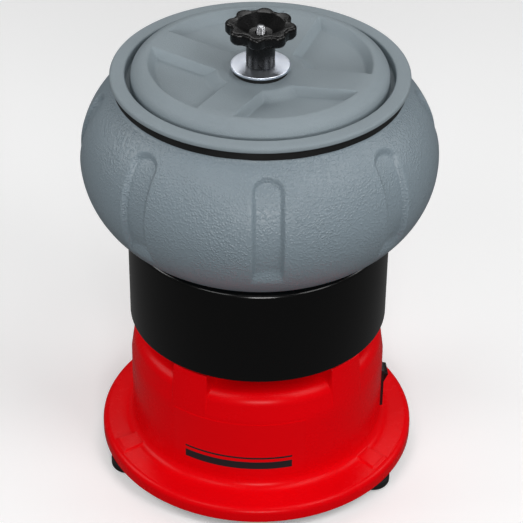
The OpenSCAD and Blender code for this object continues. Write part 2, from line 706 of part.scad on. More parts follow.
base_shell();
base_cover();
cover_screws();
rubber_feet();
foot_screws();
front_label();
switch_housing();
switch_rocker();
cord_bushing();
terminal_block();
suspension_springs();
drum_shell();
motor_plate();
plate_screws();
spring_cups();
lower_bracket();
upper_bracket();
bracket_bolts();
ball_bearings();
stator_core();
stator_windings();
rotor_core();
motor_shaft();
lower_weight();
upper_weight();
weight_screws();
centre_rod();
rod_nuts();
bowl_pad();
bowl();
bowl_washer();
bowl_nut();
rim_gasket();
lid();
rubber_washer();
steel_washer();
knob_insert();
star_knob();
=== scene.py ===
"""Vibratory rock tumbler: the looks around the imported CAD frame. Lengths in the makers below are in mm."""
import math

import bpy
import numpy as np
from mathutils import Matrix, Vector


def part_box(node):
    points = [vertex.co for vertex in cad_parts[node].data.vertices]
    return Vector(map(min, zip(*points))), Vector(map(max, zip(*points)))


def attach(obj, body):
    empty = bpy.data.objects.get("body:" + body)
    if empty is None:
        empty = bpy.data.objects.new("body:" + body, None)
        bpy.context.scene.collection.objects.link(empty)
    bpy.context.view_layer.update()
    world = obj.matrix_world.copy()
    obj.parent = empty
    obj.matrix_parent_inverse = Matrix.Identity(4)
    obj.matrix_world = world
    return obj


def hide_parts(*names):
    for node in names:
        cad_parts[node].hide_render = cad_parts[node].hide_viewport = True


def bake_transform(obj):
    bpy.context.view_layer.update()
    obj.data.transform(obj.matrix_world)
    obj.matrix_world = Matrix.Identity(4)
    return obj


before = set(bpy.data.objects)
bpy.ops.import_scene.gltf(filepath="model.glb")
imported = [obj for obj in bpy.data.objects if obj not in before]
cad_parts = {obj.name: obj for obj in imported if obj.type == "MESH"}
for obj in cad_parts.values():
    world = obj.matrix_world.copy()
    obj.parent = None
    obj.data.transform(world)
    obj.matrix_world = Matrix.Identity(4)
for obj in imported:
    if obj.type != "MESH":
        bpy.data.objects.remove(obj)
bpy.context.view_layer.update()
MM = 0.001


def span(node):
    """A CAD node's box in mm: (x0, y0, z0), (x1, y1, z1)."""
    lo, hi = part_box(node)
    return [c / MM for c in lo], [c / MM for c in hi]


# ---- camera, light, floor ------------------------------------------------------------------------

CAMERA_PLACE = (0, -1.092, 0.901)
CAMERA_PITCH = 0.605        # radians below the horizon
CAMERA_PAN = 0.002
CAMERA_ROLL = 0.012
CAMERA_LENS = 134.0


def make_camera():
    forward = Vector((math.sin(CAMERA_PAN) * math.cos(CAMERA_PITCH),
                      math.cos(CAMERA_PAN) * math.cos(CAMERA_PITCH),
                      -math.sin(CAMERA_PITCH)))
    right = Vector((math.cos(CAMERA_PAN), -math.sin(CAMERA_PAN), 0))
    up = right.cross(forward)
    c, s = math.cos(CAMERA_ROLL), math.sin(CAMERA_ROLL)
    x = c * right + s * up
    y = -s * right + c * up
    data = bpy.data.cameras.new("camera")
    data.lens = CAMERA_LENS
    data.sensor_width = 36
    data.clip_end = 50
    camera = bpy.data.objects.new("camera", data)
    camera.matrix_world = Matrix((
        (x[0], y[0], -forward[0], CAMERA_PLACE[0]),
        (x[1], y[1], -forward[1], CAMERA_PLACE[1]),
        (x[2], y[2], -forward[2], CAMERA_PLACE[2]),
        (0, 0, 0, 1),
    ))
    bpy.context.scene.collection.objects.link(camera)
    bpy.context.scene.camera = camera


def softbox(name, turn, rise, away, size, watts, aim=(0, 0, 0.2), tint=(1, 1, 1)):
    """An area light; turn counts from the front toward +X, rise from the horizon, in degrees."""
    data = bpy.data.lights.new(name, "AREA")
    data.shape = "RECTANGLE"
    data.size, data.size_y = size
    data.energy = watts
    data.color = tint
    light = bpy.data.objects.new(name, data)
    a, e = math.radians(turn), math.radians(rise)
    ray = Vector((math.sin(a) * math.cos(e), -math.cos(a) * math.cos(e), math.sin(e)))
    light.location = Vector(aim) + ray * away
    light.rotation_euler = ray.to_track_quat("Z", "Y").to_euler()
    bpy.context.scene.collection.objects.link(light)
    return light


def make_studio():
    world = bpy.data.worlds.new("studio")
    world.use_nodes = True
    back = world.node_tree.nodes["Background"]
    back.inputs["Color"].default_value = (1, 1, 1, 1)
    back.inputs["Strength"].default_value = 0.1
    bpy.context.scene.world = world
    softbox("left_softbox", -38, 42, 1.3, (0.5, 0.6), 3.0)
    softbox("right_softbox", 50, 40, 1.3, (0.5, 0.6), 4.2)
    softbox("right_high_softbox", 48, 60, 1.3, (0.6, 0.6), 1.9)
    softbox("front_fill", 3, 14, 1.8, (0.6, 0.4), 12.0)
    softbox("left_fill", -95, 30, 1.3, (0.6, 0.6), 4.3)
    softbox("right_fill", 100, 30, 1.3, (0.6, 0.6), 3.3)
    softbox("back_softbox", 180, 50, 1.5, (1.0, 0.6), 5.1)
    bpy.ops.mesh.primitive_plane_add(size=12)
    floor = bpy.context.active_object
    floor.name = "floor"
    floor.data.materials.append(plain_floor())
    floor.visible_glossy = False
    floor.visible_diffuse = False
    bpy.context.scene.view_settings.view_transform = "Standard"


# ---- node materials ------------------------------------------------------------------------------

class Nodes:
    """A short way to write a material's node tree."""

    def __init__(self, name):
        self.material = bpy.data.materials.new(name)
        self.material.use_nodes = True
        self.tree = self.material.node_tree
        self.shader = self.tree.nodes["Principled BSDF"]
        self.place = self.add("ShaderNodeTexCoord").outputs["Object"]

    def add(self, kind, **inputs):
        node = self.tree.nodes.new(kind)
        for key, value in inputs.items():
            self.put(node, key, value)
        return node

    def put(self, node, key, value):
        name = key.replace("_", " ")
        socket = node.inputs[int(key[1:])] if key[0] == "i" and key[1:].isdigit() else node.inputs[name]
        if isinstance(value, bpy.types.NodeSocket):
            self.tree.links.new(value, socket)
        else:
            socket.default_value = value

    def math(self, operation, a, b=0.0, c=0.0):
        node = self.tree.nodes.new("ShaderNodeMath")
        node.operation = operation
        for i, value in enumerate((a, b, c)):
            self.put(node, "i%d" % i, value)
        return node.outputs[0]

    def noise(self, scale, detail=2.0, rough=0.5, place=None):
        node = self.add("ShaderNodeTexNoise", Scale=scale, Detail=detail, Roughness=rough,
                        Vector=place or self.place)
        return node.outputs["Fac"]

    def cells(self, scale, smooth=0.5, place=None):
        node = self.tree.nodes.new("ShaderNodeTexVoronoi")
        node.feature = "SMOOTH_F1"
        for key, value in (("Scale", scale), ("Smoothness", smooth), ("Vector", place or self.place)):
            self.put(node, key, value)
        return node.outputs["Distance"]

    def ramp(self, value, stops):
        """stops: (position, colour or grey level), ..."""
        node = self.tree.nodes.new("ShaderNodeValToRGB")
        self.put(node, "Fac", value)
        parts = node.color_ramp.elements
        while len(parts) < len(stops):
            parts.new(1.0)
        for part, (where, colour) in zip(parts, stops):
            part.position = where
            part.color = (colour, colour, colour, 1) if isinstance(colour, float) else (*colour, 1)
        return node.outputs["Color"]

    def remap(self, value, low, high, start=0.0, end=1.0):
        node = self.add("ShaderNodeMapRange", Value=value, From_Min=start, From_Max=end,
                        To_Min=low, To_Max=high)
        return node.outputs["Result"]

    def blend(self, fac, a, b, mode="MIX"):
        node = self.tree.nodes.new("ShaderNodeMix")
        node.data_type = "RGBA"
        node.blend_type = mode
        self.put(node, "i0", fac)
        self.put(node, "i6", a if isinstance(a, bpy.types.NodeSocket) else (*a, 1))
        self.put(node, "i7", b if isinstance(b, bpy.types.NodeSocket) else (*b, 1))
        return node.outputs[2]

    def bump(self, height, depth_mm, strength=1.0, after=None):
        node = self.add("ShaderNodeBump", Height=height, Distance=depth_mm * MM, Strength=strength)
        if after is not None:
            self.put(node, "Normal", after)
        return node.outputs["Normal"]

    def set(self, **inputs):
        for key, value in inputs.items():
            if isinstance(value, tuple) and len(value) == 3:
                value = (*value, 1)
            self.put(self.shader, key, value)
        return self

    def vary(self, colour, low, high, scale, detail=3.0):
        """The colour times a slow noise between low and high."""
        level = self.remap(self.noise(scale, detail), low, high, 0.3, 0.7)
        grey = self.add("ShaderNodeCombineColor", i0=level, i1=level, i2=level).outputs[0]
        return self.blend(1.0, colour, grey, "MULTIPLY")


def plain_floor():
    n = Nodes("pale_floor")
    n.set(Base_Color=n.vary((0.95, 0.95, 0.95), 0.99, 1.0, 3.0), Roughness=0.9)
    n.put(n.shader, "Specular_IOR_Level", 0.1)
    n.set(Emission_Color=(1.0, 1.0, 1.0), Emission_Strength=0.16)
    return n.material


def bowl_plastic():
    """Blue-grey moulding with a coarse pebbled grain."""
    n = Nodes("pebbled_bowl_plastic")
    warp = n.add("ShaderNodeTexNoise", Scale=260.0, Detail=2.0, Vector=n.place).outputs["Color"]
    bent = n.add("ShaderNodeVectorMath", i0=warp, i1=(0.5, 0.5, 0.5))
    bent.operation = "SUBTRACT"
    scaled = n.add("ShaderNodeVectorMath", i0=bent.outputs[0])
    scaled.operation = "SCALE"
    n.put(scaled, "Scale", 0.0016)
    place = n.add("ShaderNodeVectorMath", i0=n.place, i1=scaled.outputs[0]).outputs[0]
    pebble = n.cells(660.0, 0.3, place)
    dome = n.remap(pebble, 1.0, 0.0, 0.05, 0.62)
    fine = n.noise(1500.0, 2.0)
    height = n.math("MULTIPLY_ADD", fine, 0.22, dome)
    patch = n.remap(n.noise(38.0, 2.0), 0.75, 1.25, 0.35, 0.65)
    height = n.math("MULTIPLY", height, patch)
    colour = n.vary((0.290, 0.357, 0.402), 0.95, 1.04, 18.0)
    # painted shade and light: the colour is darker in the pebbles' hollows and lighter on their tops,
    # following the bump height; the slow noise above is the plastic's own tone
    colour = n.blend(n.remap(dome, 0.0, 0.22), (0.216, 0.268, 0.304), colour)
    rough = n.remap(fine, 0.32, 0.44, 0.3, 0.7)
    n.set(Base_Color=colour, Roughness=rough, Normal=n.bump(height, 0.33, 1.0))
    n.put(n.shader, "Specular_IOR_Level", 0.5)
    return n.material


def lid_plastic():
    """The same plastic as the bowl, lighter, with a fine matte spark finish."""
    n = Nodes("fine_lid_plastic")
    fine = n.noise(1250.0, 3.0, 0.6)
    soft = n.noise(420.0, 2.0)
    height = n.math("MULTIPLY_ADD", soft, 0.4, fine)
    colour = n.vary((0.250, 0.298, 0.326), 0.96, 1.03, 16.0)
    n.set(Base_Color=colour, Roughness=n.remap(fine, 0.5, 0.62, 0.3, 0.7),
          Normal=n.bump(height, 0.26, 1.0))
    n.put(n.shader, "Specular_IOR_Level", 0.45)
    return n.material


def red_plastic():
    """Gloss red moulding: faint flow waves, fine scuffs and a trace of dust."""
    n = Nodes("gloss_red_plastic")
    wave = n.noise(45.0, 2.0)
    scuff = n.noise(2600.0, 2.0)
    colour = n.vary((0.86, 0.0004, 0.0035), 0.95, 1.0, 14.0)
    worn = n.ramp(n.noise(120.0, 4.0, 0.65), [(0.56, 0.0), (0.72, 1.0)])
    rough = n.remap(worn, 0.27, 0.36)
    height = n.math("MULTIPLY_ADD", scuff, 0.05, wave)
    n.set(Base_Color=colour, Roughness=rough, Normal=n.bump(height, 0.12, 0.5))
    n.put(n.shader, "Specular_IOR_Level", 0.1)
    return n.material


def gloss_black(name, level=0.004, rough=(0.12, 0.22), specular=0.3, wave_mm=0.06):
    n = Nodes(name)
    wave = n.noise(50.0, 2.0)
    fine = n.noise(900.0, 3.0)
    n.set(Base_Color=n.vary((level, level, level * 1.08), 0.85, 1.1, 20.0),
          Roughness=n.remap(fine, rough[0], rough[1], 0.3, 0.7),
          Normal=n.bump(n.math("MULTIPLY_ADD", fine, 0.05, wave), wave_mm, 0.4))
    n.put(n.shader, "Specular_IOR_Level", specular)
    return n.material


def rubber(name, level=0.008):
    n = Nodes(name)
    fine = n.noise(1300.0, 4.0, 0.6)
    bloom = n.noise(70.0, 3.0)
    n.set(Base_Color=n.vary((level, level, level), 0.7, 1.5, 60.0),
          Roughness=n.remap(bloom, 0.55, 0.8, 0.3, 0.7),
          Normal=n.bump(fine, 0.06, 0.6))
    n.put(n.shader, "Specular_IOR_Level", 0.35)
    return n.material


def metal(name, colour, rough=(0.2, 0.35), grain=(1, 1, 1), grain_scale=700.0, depth=0.02, tint=None):
    """Metal with a drawn or turned grain: grain stretches the noise along the small numbers."""
    n = Nodes(name)
    stretched = n.add("ShaderNodeVectorMath", i0=n.place, i1=grain)
    stretched.operation = "MULTIPLY"
    lines = n.noise(grain_scale, 4.0, 0.6, stretched.outputs[0])
    cloud = n.noise(130.0, 3.0)
    tone = n.vary(colour, 0.85, 1.05, 90.0)
    if tint:
        tone = n.blend(n.remap(cloud, 0.0, 0.6, 0.45, 0.7), tone, tint)
    n.set(Base_Color=tone, Metallic=1.0, Roughness=n.remap(lines, rough[0], rough[1], 0.3, 0.7),
          Normal=n.bump(lines, depth, 0.4))
    return n.material


def bright_zinc():
    """Bright zinc plate with turned circles about the machine's axis."""
    n = Nodes("bright_zinc_plate")
    parts = n.add("ShaderNodeSeparateXYZ", Vector=n.place)
    x, y = parts.outputs[0], parts.outputs[1]
    radius = n.math("SQRT", n.math("ADD", n.math("MULTIPLY", x, x), n.math("MULTIPLY", y, y)))
    line = n.add("ShaderNodeCombineXYZ", X=radius).outputs[0]
    turned = n.noise(2600.0, 3.0, 0.6, line)
    cloud = n.noise(160.0, 3.0)
    n.set(Base_Color=n.blend(n.remap(cloud, 0.0, 0.5, 0.4, 0.7), (0.86, 0.91, 1.0), (0.74, 0.81, 0.94)),
          Metallic=1.0, Roughness=n.remap(turned, 0.26, 0.38, 0.3, 0.7), Normal=n.bump(turned, 0.006, 0.3))
    return n.material


def laminations():
    """A stack of thin steel sheets: lines in height."""
    n = Nodes("stacked_laminations")
    z = n.add("ShaderNodeSeparateXYZ", Vector=n.place).outputs[2]
    stripe = n.math("SINE", n.math("MULTIPLY", z, 2 * math.pi / (0.65 * MM)))
    stripe = n.remap(stripe, 0.0, 1.0, -1.0, 1.0)
    n.set(Base_Color=n.blend(stripe, (0.08, 0.085, 0.1), (0.3, 0.31, 0.34)), Metallic=0.9,
          Roughness=n.remap(n.noise(500.0), 0.35, 0.55), Normal=n.bump(stripe, 0.1, 0.5))
    return n.material


def copper_wire():
    """Lacquered winding: turns of wire lie round the core."""
    n = Nodes("lacquered_windings")
    parts = n.add("ShaderNodeSeparateXYZ", Vector=n.place)
    turns = n.math("SINE", n.math("MULTIPLY", parts.outputs[2], 2 * math.pi / (0.7 * MM)))
    turns = n.remap(turns, 0.0, 1.0, -1.0, 1.0)
    # painted shade: the copper is darker in the grooves between the turns and lighter on their crests,
    # following the bump
    n.set(Base_Color=n.blend(turns, (0.25, 0.06, 0.02), (0.7, 0.26, 0.08)), Metallic=0.85,
          Roughness=n.remap(n.noise(400.0), 0.22, 0.4), Normal=n.bump(turns, 0.25, 0.8))
    return n.material


def cast_iron():
    n = Nodes("cast_iron_skin")
    pits = n.cells(700.0, 0.2)
    n.set(Base_Color=n.vary((0.07, 0.07, 0.075), 0.7, 1.3, 80.0), Metallic=0.7,
          Roughness=n.remap(pits, 0.45, 0.7), Normal=n.bump(n.noise(600.0, 4.0, 0.7), 0.15, 0.8))
    return n.material


def nylon():
    n = Nodes("natural_nylon")
    n.set(Base_Color=n.vary((0.72, 0.69, 0.6), 0.94, 1.02, 60.0), Roughness=n.remap(n.noise(500.0), 0.4, 0.5),
          Normal=n.bump(n.noise(800.0), 0.03, 0.5))
    n.put(n.shader, "Subsurface_Weight", 0.1)
    return n.material


def label_film():
    """Gloss red film with two plain level bands, which stand in for its printing."""
    n = Nodes("label_film")
    parts = n.add("ShaderNodeSeparateXYZ", Vector=n.place)
    turn = n.math("ARCTAN2", parts.outputs[0], n.math("MULTIPLY", parts.outputs[1], -1.0))
    turn = n.math("MULTIPLY", turn, 180 / math.pi)
    z = n.math("MULTIPLY", parts.outputs[2], 1 / MM)

    def inside(value, low, high, soft):
        a = n.remap(value, 0.0, 1.0, low - soft, low + soft)
        b = n.remap(value, 1.0, 0.0, high - soft, high + soft)
        return n.math("MULTIPLY", a, b)

    def bar(t0, t1, z0, z1):
        return n.math("MULTIPLY", inside(turn, t0, t1, 0.12), inside(z, z0, z1, 0.18))

    dark = n.math("MAXIMUM", bar(-33.0, 16.0, 36.0, 42.0), bar(-33.0, 16.0, 44.5, 46.0))
    red = n.vary((0.86, 0.0004, 0.0035), 0.97, 1.0, 20.0)
    colour = n.blend(dark, red, (0.022, 0.02, 0.022))
    n.set(Base_Color=colour, Roughness=n.remap(n.noise(300.0), 0.2, 0.27, 0.3, 0.7),
          Normal=n.bump(n.noise(60.0), 0.05, 0.3))
    n.put(n.shader, "Specular_IOR_Level", 0.14)
    return n.material


# ---- mesh makers ---------------------------------------------------------------------------------

def finish_piece(name, verts, faces, body, material, slot, replaces=()):
    """verts in mm, faces already turned outward. Makes the object and ties it to the frame."""
    mesh = bpy.data.meshes.new(name)
    mesh.from_pydata((np.asarray(verts, float) * MM).tolist(), [], [tuple(f) for f in faces])
    mesh.validate()
    piece = bpy.data.objects.new(name, mesh)
    bpy.context.scene.collection.objects.link(piece)
    mesh.polygons.foreach_set("use_smooth", [True] * len(mesh.polygons))
    mesh.materials.append(material)
    if body:
        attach(piece, body)
    if replaces:
        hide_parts(*replaces)
    return piece


def signed_volume(verts, faces):
    v = np.asarray(verts, float)
    total = 0.0
    quads = [f for f in faces]
    for k in range(1, max(len(f) for f in quads) - 1):
        tri = np.array([(f[0], f[k], f[k + 1]) for f in quads if len(f) > k + 1])
        a, b, c = v[tri[:, 0]], v[tri[:, 1]], v[tri[:, 2]]
        total += np.einsum("ij,ij->i", a, np.cross(b, c)).sum()
    return total / 6


def grid_faces(rows, columns):
    """Quads of a torus-like grid whose rows and columns both close."""
    i = np.arange(rows)[:, None]
    j = np.arange(columns)[None, :]
    i2, j2 = (i + 1) % rows, (j + 1) % columns
    quads = np.stack(np.broadcast_arrays(i * columns + j, i * columns + j2, i2 * columns + j2,
                                         i2 * columns + j), -1)
    return quads.reshape(-1, 4)


def outward(verts, faces):
    faces = [tuple(f) for f in faces]
    if signed_volume(verts, faces) < 0:
        faces = [f[::-1] for f in faces]
    return faces


def rounded(points, steps=5):
    """A closed outline whose corners are arcs. points: (r, z) or (r, z, corner radius)."""
    out = []
    count = len(points)
    for k in range(count):
        p = np.array(points[k][:2], float)
        radius = points[k][2] if len(points[k]) > 2 else 0.0
        if radius <= 0:
            out.append(tuple(p))
            continue
        a = np.array(points[k - 1][:2], float) - p
        b = np.array(points[(k + 1) % count][:2], float) - p
        la, lb = np.linalg.norm(a), np.linalg.norm(b)
        a, b = a / la, b / lb
        half = math.acos(np.clip(a @ b, -1, 1)) / 2
        cut = min(radius / math.tan(half), 0.49 * la, 0.49 * lb)
        radius = cut * math.tan(half)
        middle = p + (a + b) / np.linalg.norm(a + b) * radius / math.sin(half)
        start, end = p + a * cut - middle, p + b * cut - middle
        sweep = math.atan2(start[0] * end[1] - start[1] * end[0], start @ end)
        for i in range(steps + 1):
            t = sweep * i / steps
            out.append((middle[0] + start[0] * math.cos(t) - start[1] * math.sin(t),
                        middle[1] + start[0] * math.sin(t) + start[1] * math.cos(t)))
    return out


def lathe_mesh(outline, columns=192, at=(0, 0), tilt=None):
    """Verts and faces of a closed (r, z) outline turned about an upright axis."""
    line = np.array(outline, float)
    t = np.linspace(0, 2 * math.pi, columns, endpoint=False)
    verts = np.stack([line[:, :1] * np.cos(t) + at[0], line[:, :1] * np.sin(t) + at[1],
                      np.repeat(line[:, 1:], columns, 1)], -1).reshape(-1, 3)
    return verts, outward(verts, grid_faces(len(line), columns))


def join(parts):
    verts, faces, start = [], [], 0
    for v, f in parts:
        verts.append(np.asarray(v, float))
        faces += [tuple(i + start for i in face) for face in f]
        start += len(v)
    return np.concatenate(verts), faces


def smooth_step(x):
    x = np.clip(x, 0, 1)
    return x * x * (3 - 2 * x)


def soft_min(a, b, k):
    h = np.clip(0.5 + 0.5 * (b - a) / k, 0, 1)
    return b * (1 - h) + a * h - k * h * (1 - h)


def soft_max(a, b, k):
    return -soft_min(-a, -b, k)


def arc(cr, cz, radius, a0, a1, count):
    t = np.radians(np.linspace(a0, a1, count))
    return [(cr + radius * math.cos(v), cz + radius * math.sin(v)) for v in t]


def steps_between(a, b, count):
    """Points on the straight line from a to b, both left out."""
    return [tuple(np.array(a) + (np.array(b) - np.array(a)) * k / (count + 1)) for k in range(1, count + 1)]


# ---- the bowl ------------------------------------------------------------------------------------

(bx0, _, bz0), (bx1, _, bz1) = span("bowl")
BOWL_R = (bx1 - bx0) / 2
SECTION_R = 60.0
RING_R = BOWL_R - SECTION_R
MID_Z = bz0 + SECTION_R
FLUTE_TURN = 3.0
FLUTES = 8
FLUTE_DEPTH = 3.3
NECK_TURN = 52.4             # where the round section meets the neck, in degrees above its middle


def make_bowl(material):
    rim = bz1 - 3.0
    outer = arc(RING_R, MID_Z, SECTION_R, -90, NECK_TURN, 194)
    top = rounded([(93.6, rim - 1.3), (93.4, rim, 0.4), (92.9, rim, 0.1), (92.9, rim + 3, 0.5),
                   (90.9, rim + 3, 0.5), (90.9, rim, 0.1), (89.6, rim, 0.3), (89.6, rim - 4, 1.0)], 4)
    inner = arc(RING_R, MID_Z, SECTION_R - 4.0, 53, -88, 70)
    floor = bz0
    cone = rounded([(40, floor + 4.0), (29, floor + 4.0, 6.0), (14, floor + 48, 2.5), (3.5, floor + 48, 0.3),
                    (3.5, floor + 43, 0.3), (9, floor + 43, 1.0), (24, floor, 3.0), (44, floor)], 6)
    line = outer + top + inner + cone
    line = np.array(line, float)
    columns = 1200
    turn = np.arange(columns) * 2 * math.pi / columns
    r = np.repeat(line[:, :1], columns, 1)
    z = np.repeat(line[:, 1:], columns, 1)
    rows = len(outer)
    section = np.radians(np.linspace(-90, NECK_TURN, rows))[:, None]
    # across and along each flute, in mm
    pitch = 2 * math.pi / FLUTES
    off = (turn[None, :] + math.pi / 2 - math.radians(FLUTE_TURN) + pitch / 2) % pitch - pitch / 2
    across = np.abs(r[:rows] * np.sin(off))
    along = section * SECTION_R
    top_end = math.radians(45.5) * SECTION_R
    low_end = math.radians(-31.5) * SECTION_R
    half = 10.6
    # distance in from the sides and the arched top
    over = np.maximum(along - (top_end - half), 0)
    side = half - np.sqrt(across ** 2 + over ** 2)
    foot = along - low_end
    side_wall = 3.4 + 2.6 * smooth_step((along - (top_end - half)) / half)
    depth_side = smooth_step(side / side_wall)
    depth_foot = smooth_step(foot / 14.0)
    depth = FLUTE_DEPTH * soft_min(depth_side, depth_foot, 0.12) * (side > 0) * (foot > 0)
    r[:rows] -= np.clip(depth, 0, None) * np.cos(section)
    z[:rows] -= np.clip(depth, 0, None) * np.sin(section)
    verts = np.stack([r * np.cos(turn), r * np.sin(turn), z], -1).reshape(-1, 3)
    return finish_piece("tumbling_bowl", verts, outward(verts, grid_faces(len(line), columns)), "drum",
                        material, "bowl_plastic", ("bowl",))


# ---- the lid -------------------------------------------------------------------------------------

(lx0, _, lz0), (lx1, _, lz1) = span("lid")
LID_R = (lx1 - lx0) / 2
LID_TOP = lz1
FLANGE_TOP = LID_TOP - 7.0
DISH_DEPTH = 7.2             # how far the lid's middle dips to the washer's seat
SEAT_Z = LID_TOP - DISH_DEPTH
POCKET_DEPTH = 5.9
RIB_HALF = 12.0
RIB_TURN = 67.3


def dish(r):
    return LID_TOP - DISH_DEPTH * np.clip((68.0 - r) / 48.5, 0, 1)


def make_lid(material):
    plug = lz0
    outer = rounded([(89.2, FLANGE_TOP - 4.0, 0.4), (LID_R, FLANGE_TOP - 4.0, 1.2), (LID_R, FLANGE_TOP, 1.7),
                     (86.7, FLANGE_TOP, 1.1), (86.7, plug + 2.6, 1.2), (83.0, plug + 2.6, 1.2),
                     (83.0, LID_TOP - 9.2)], 6)
    crown = [(83.0 - 10.0 + 10.0 * math.cos(a), LID_TOP - 9.0 + 9.0 * math.sin(a))
             for a in np.radians(np.linspace(0, 90, 18))]
    top_r = np.concatenate([np.linspace(72.6, 20.5, 140), np.linspace(20.0, 4.2, 16)])
    under = rounded([(3.5, SEAT_Z - 0.1, 0.0), (3.5, SEAT_Z - 9.0, 0.4), (24, SEAT_Z - 9.0, 3.0),
                     (76.4, LID_TOP - 7.6, 2.0), (80.4, LID_TOP - 11, 1.5), (80.4, plug, 0.5),
                     (89.2, plug, 0.6)], 5)
    line = np.array(outer + crown + [(r, float(dish(r))) for r in top_r] + under, float)
    columns = 960
    turn = np.arange(columns) * 2 * math.pi / columns
    first = len(outer) + len(crown)
    rows = slice(first, first + len(top_r))
    r = np.repeat(line[:, :1], columns, 1)
    z = np.repeat(line[:, 1:], columns, 1)
    rr = r[rows]
    # the dish meets the flat rim and the flat seat softly
    fall = soft_max((68.5 - rr) / 48.5, np.zeros_like(rr), 0.05)
    slope = LID_TOP - DISH_DEPTH * soft_min(fall, np.ones_like(rr), 0.03)
    depth = np.zeros_like(rr)
    for k in range(4):
        a = math.radians(RIB_TURN + 90 * k)
        u = rr * np.cos(turn - a)
        v = rr * np.sin(turn - a)
        inside = soft_min(u - RIB_HALF, v - RIB_HALF, 2.0)
        inside = soft_min(inside * 1.8, (71.8 - rr) * 1.3, 2.5)
        inside = soft_min(inside, (rr - 28.0) * 0.8, 1.6)
        inside = soft_min(inside, np.full_like(rr, POCKET_DEPTH), 1.6)
        depth = np.maximum(depth, soft_max(inside, np.zeros_like(rr), 1.0) * (inside > -1.0))
    z[rows] = slope - depth
    verts = np.stack([r * np.cos(turn), r * np.sin(turn), z], -1).reshape(-1, 3)
    return finish_piece("tumbler_lid", verts, outward(verts, grid_faces(len(line), columns)), "lid",
                        material, "lid_plastic", ("lid",))


# ---- the base ------------------------------------------------------------------------------------

_, (_, _, sz1) = span("base_shell")
SPRING_TURNS = (-31.8, 44.4, 148.2, 224.4)
SPRING_RING = 73.0
TOWER_R = 88.0
TURRET_TOP = sz1
FEET_TURNS = (-65.0, 55.0, 175.0)
SWITCH_TURN = 94.0
BUSHING_TURN = 186.0
BUSHING_Z = 36


def from_front(turn):
    """The plain angle, in radians, of a direction counted from the front toward +X."""
    return math.radians(turn - 90)


def base_columns():
    """Angles round the base, close together at the turrets' and foot pads' sides."""
    t = list(np.arange(0, 360, 1.0))
    for turn in SPRING_TURNS:
        for side in (-1, 1):
            t += [turn - 90 + side * k for k in np.arange(8.0, 14.6, 0.12)]
    for turn in FEET_TURNS:
        for side in (-1, 1):
            t += [turn - 90 + side * k for k in np.arange(3.4, 5.0, 0.1)]
    t = np.unique(np.round(np.mod(t, 360), 3))
    keep = [t[0]]
    for v in t[1:]:
        if v - keep[-1] > 0.07:
            keep.append(v)
    return np.radians(keep)


def cut(piece, cutters):
    """Takes cutter solids (verts, faces in mm) out of a piece."""
    verts, faces = join(cutters)
    mesh = bpy.data.meshes.new("cutter")
    mesh.from_pydata((verts * MM).tolist(), [], faces)
    tool = bpy.data.objects.new("cutter", mesh)
    bpy.context.scene.collection.objects.link(tool)
    step = piece.modifiers.new("cut", "BOOLEAN")
    step.object = tool
    step.operation = "DIFFERENCE"
    step.solver = "EXACT"
    dg = bpy.context.evaluated_depsgraph_get()
    done = bpy.data.meshes.new_from_object(piece.evaluated_get(dg))
    piece.modifiers.remove(step)
    piece.data = done
    bpy.data.objects.remove(tool)


def placed(mesh, matrix):
    verts, faces = mesh
    verts = np.asarray(verts, float)
    m = np.array(matrix)
    return verts @ m[:3, :3].T + m[:3, 3], faces


def block(x, y, z):
    """A box from x[0] to x[1] and so on."""
    v = [(a, b, c) for a in x for b in y for c in z]
    f = [(0, 1, 3, 2), (4, 6, 7, 5), (0, 4, 5, 1), (2, 3, 7, 6), (0, 2, 6, 4), (1, 5, 7, 3)]
    return np.array(v, float), outward(v, f)


def rod_mesh(radius, z0, z1, sides=64):
    t = np.linspace(0, 2 * math.pi, sides, endpoint=False)
    ring = np.stack([radius * np.cos(t), radius * np.sin(t)], -1)
    verts = np.concatenate([np.c_[ring, np.full(sides, z0)], np.c_[ring, np.full(sides, z1)]])
    faces = [(i, (i + 1) % sides, sides + (i + 1) % sides, sides + i) for i in range(sides)]
    faces += [tuple(range(sides))[::-1], tuple(range(sides, 2 * sides))]
    return verts, outward(verts, faces)


def turned(turn, r=0.0, z=0.0):
    return Matrix.Rotation(from_front(turn), 4, "Z") @ Matrix.Translation((r, 0, z))


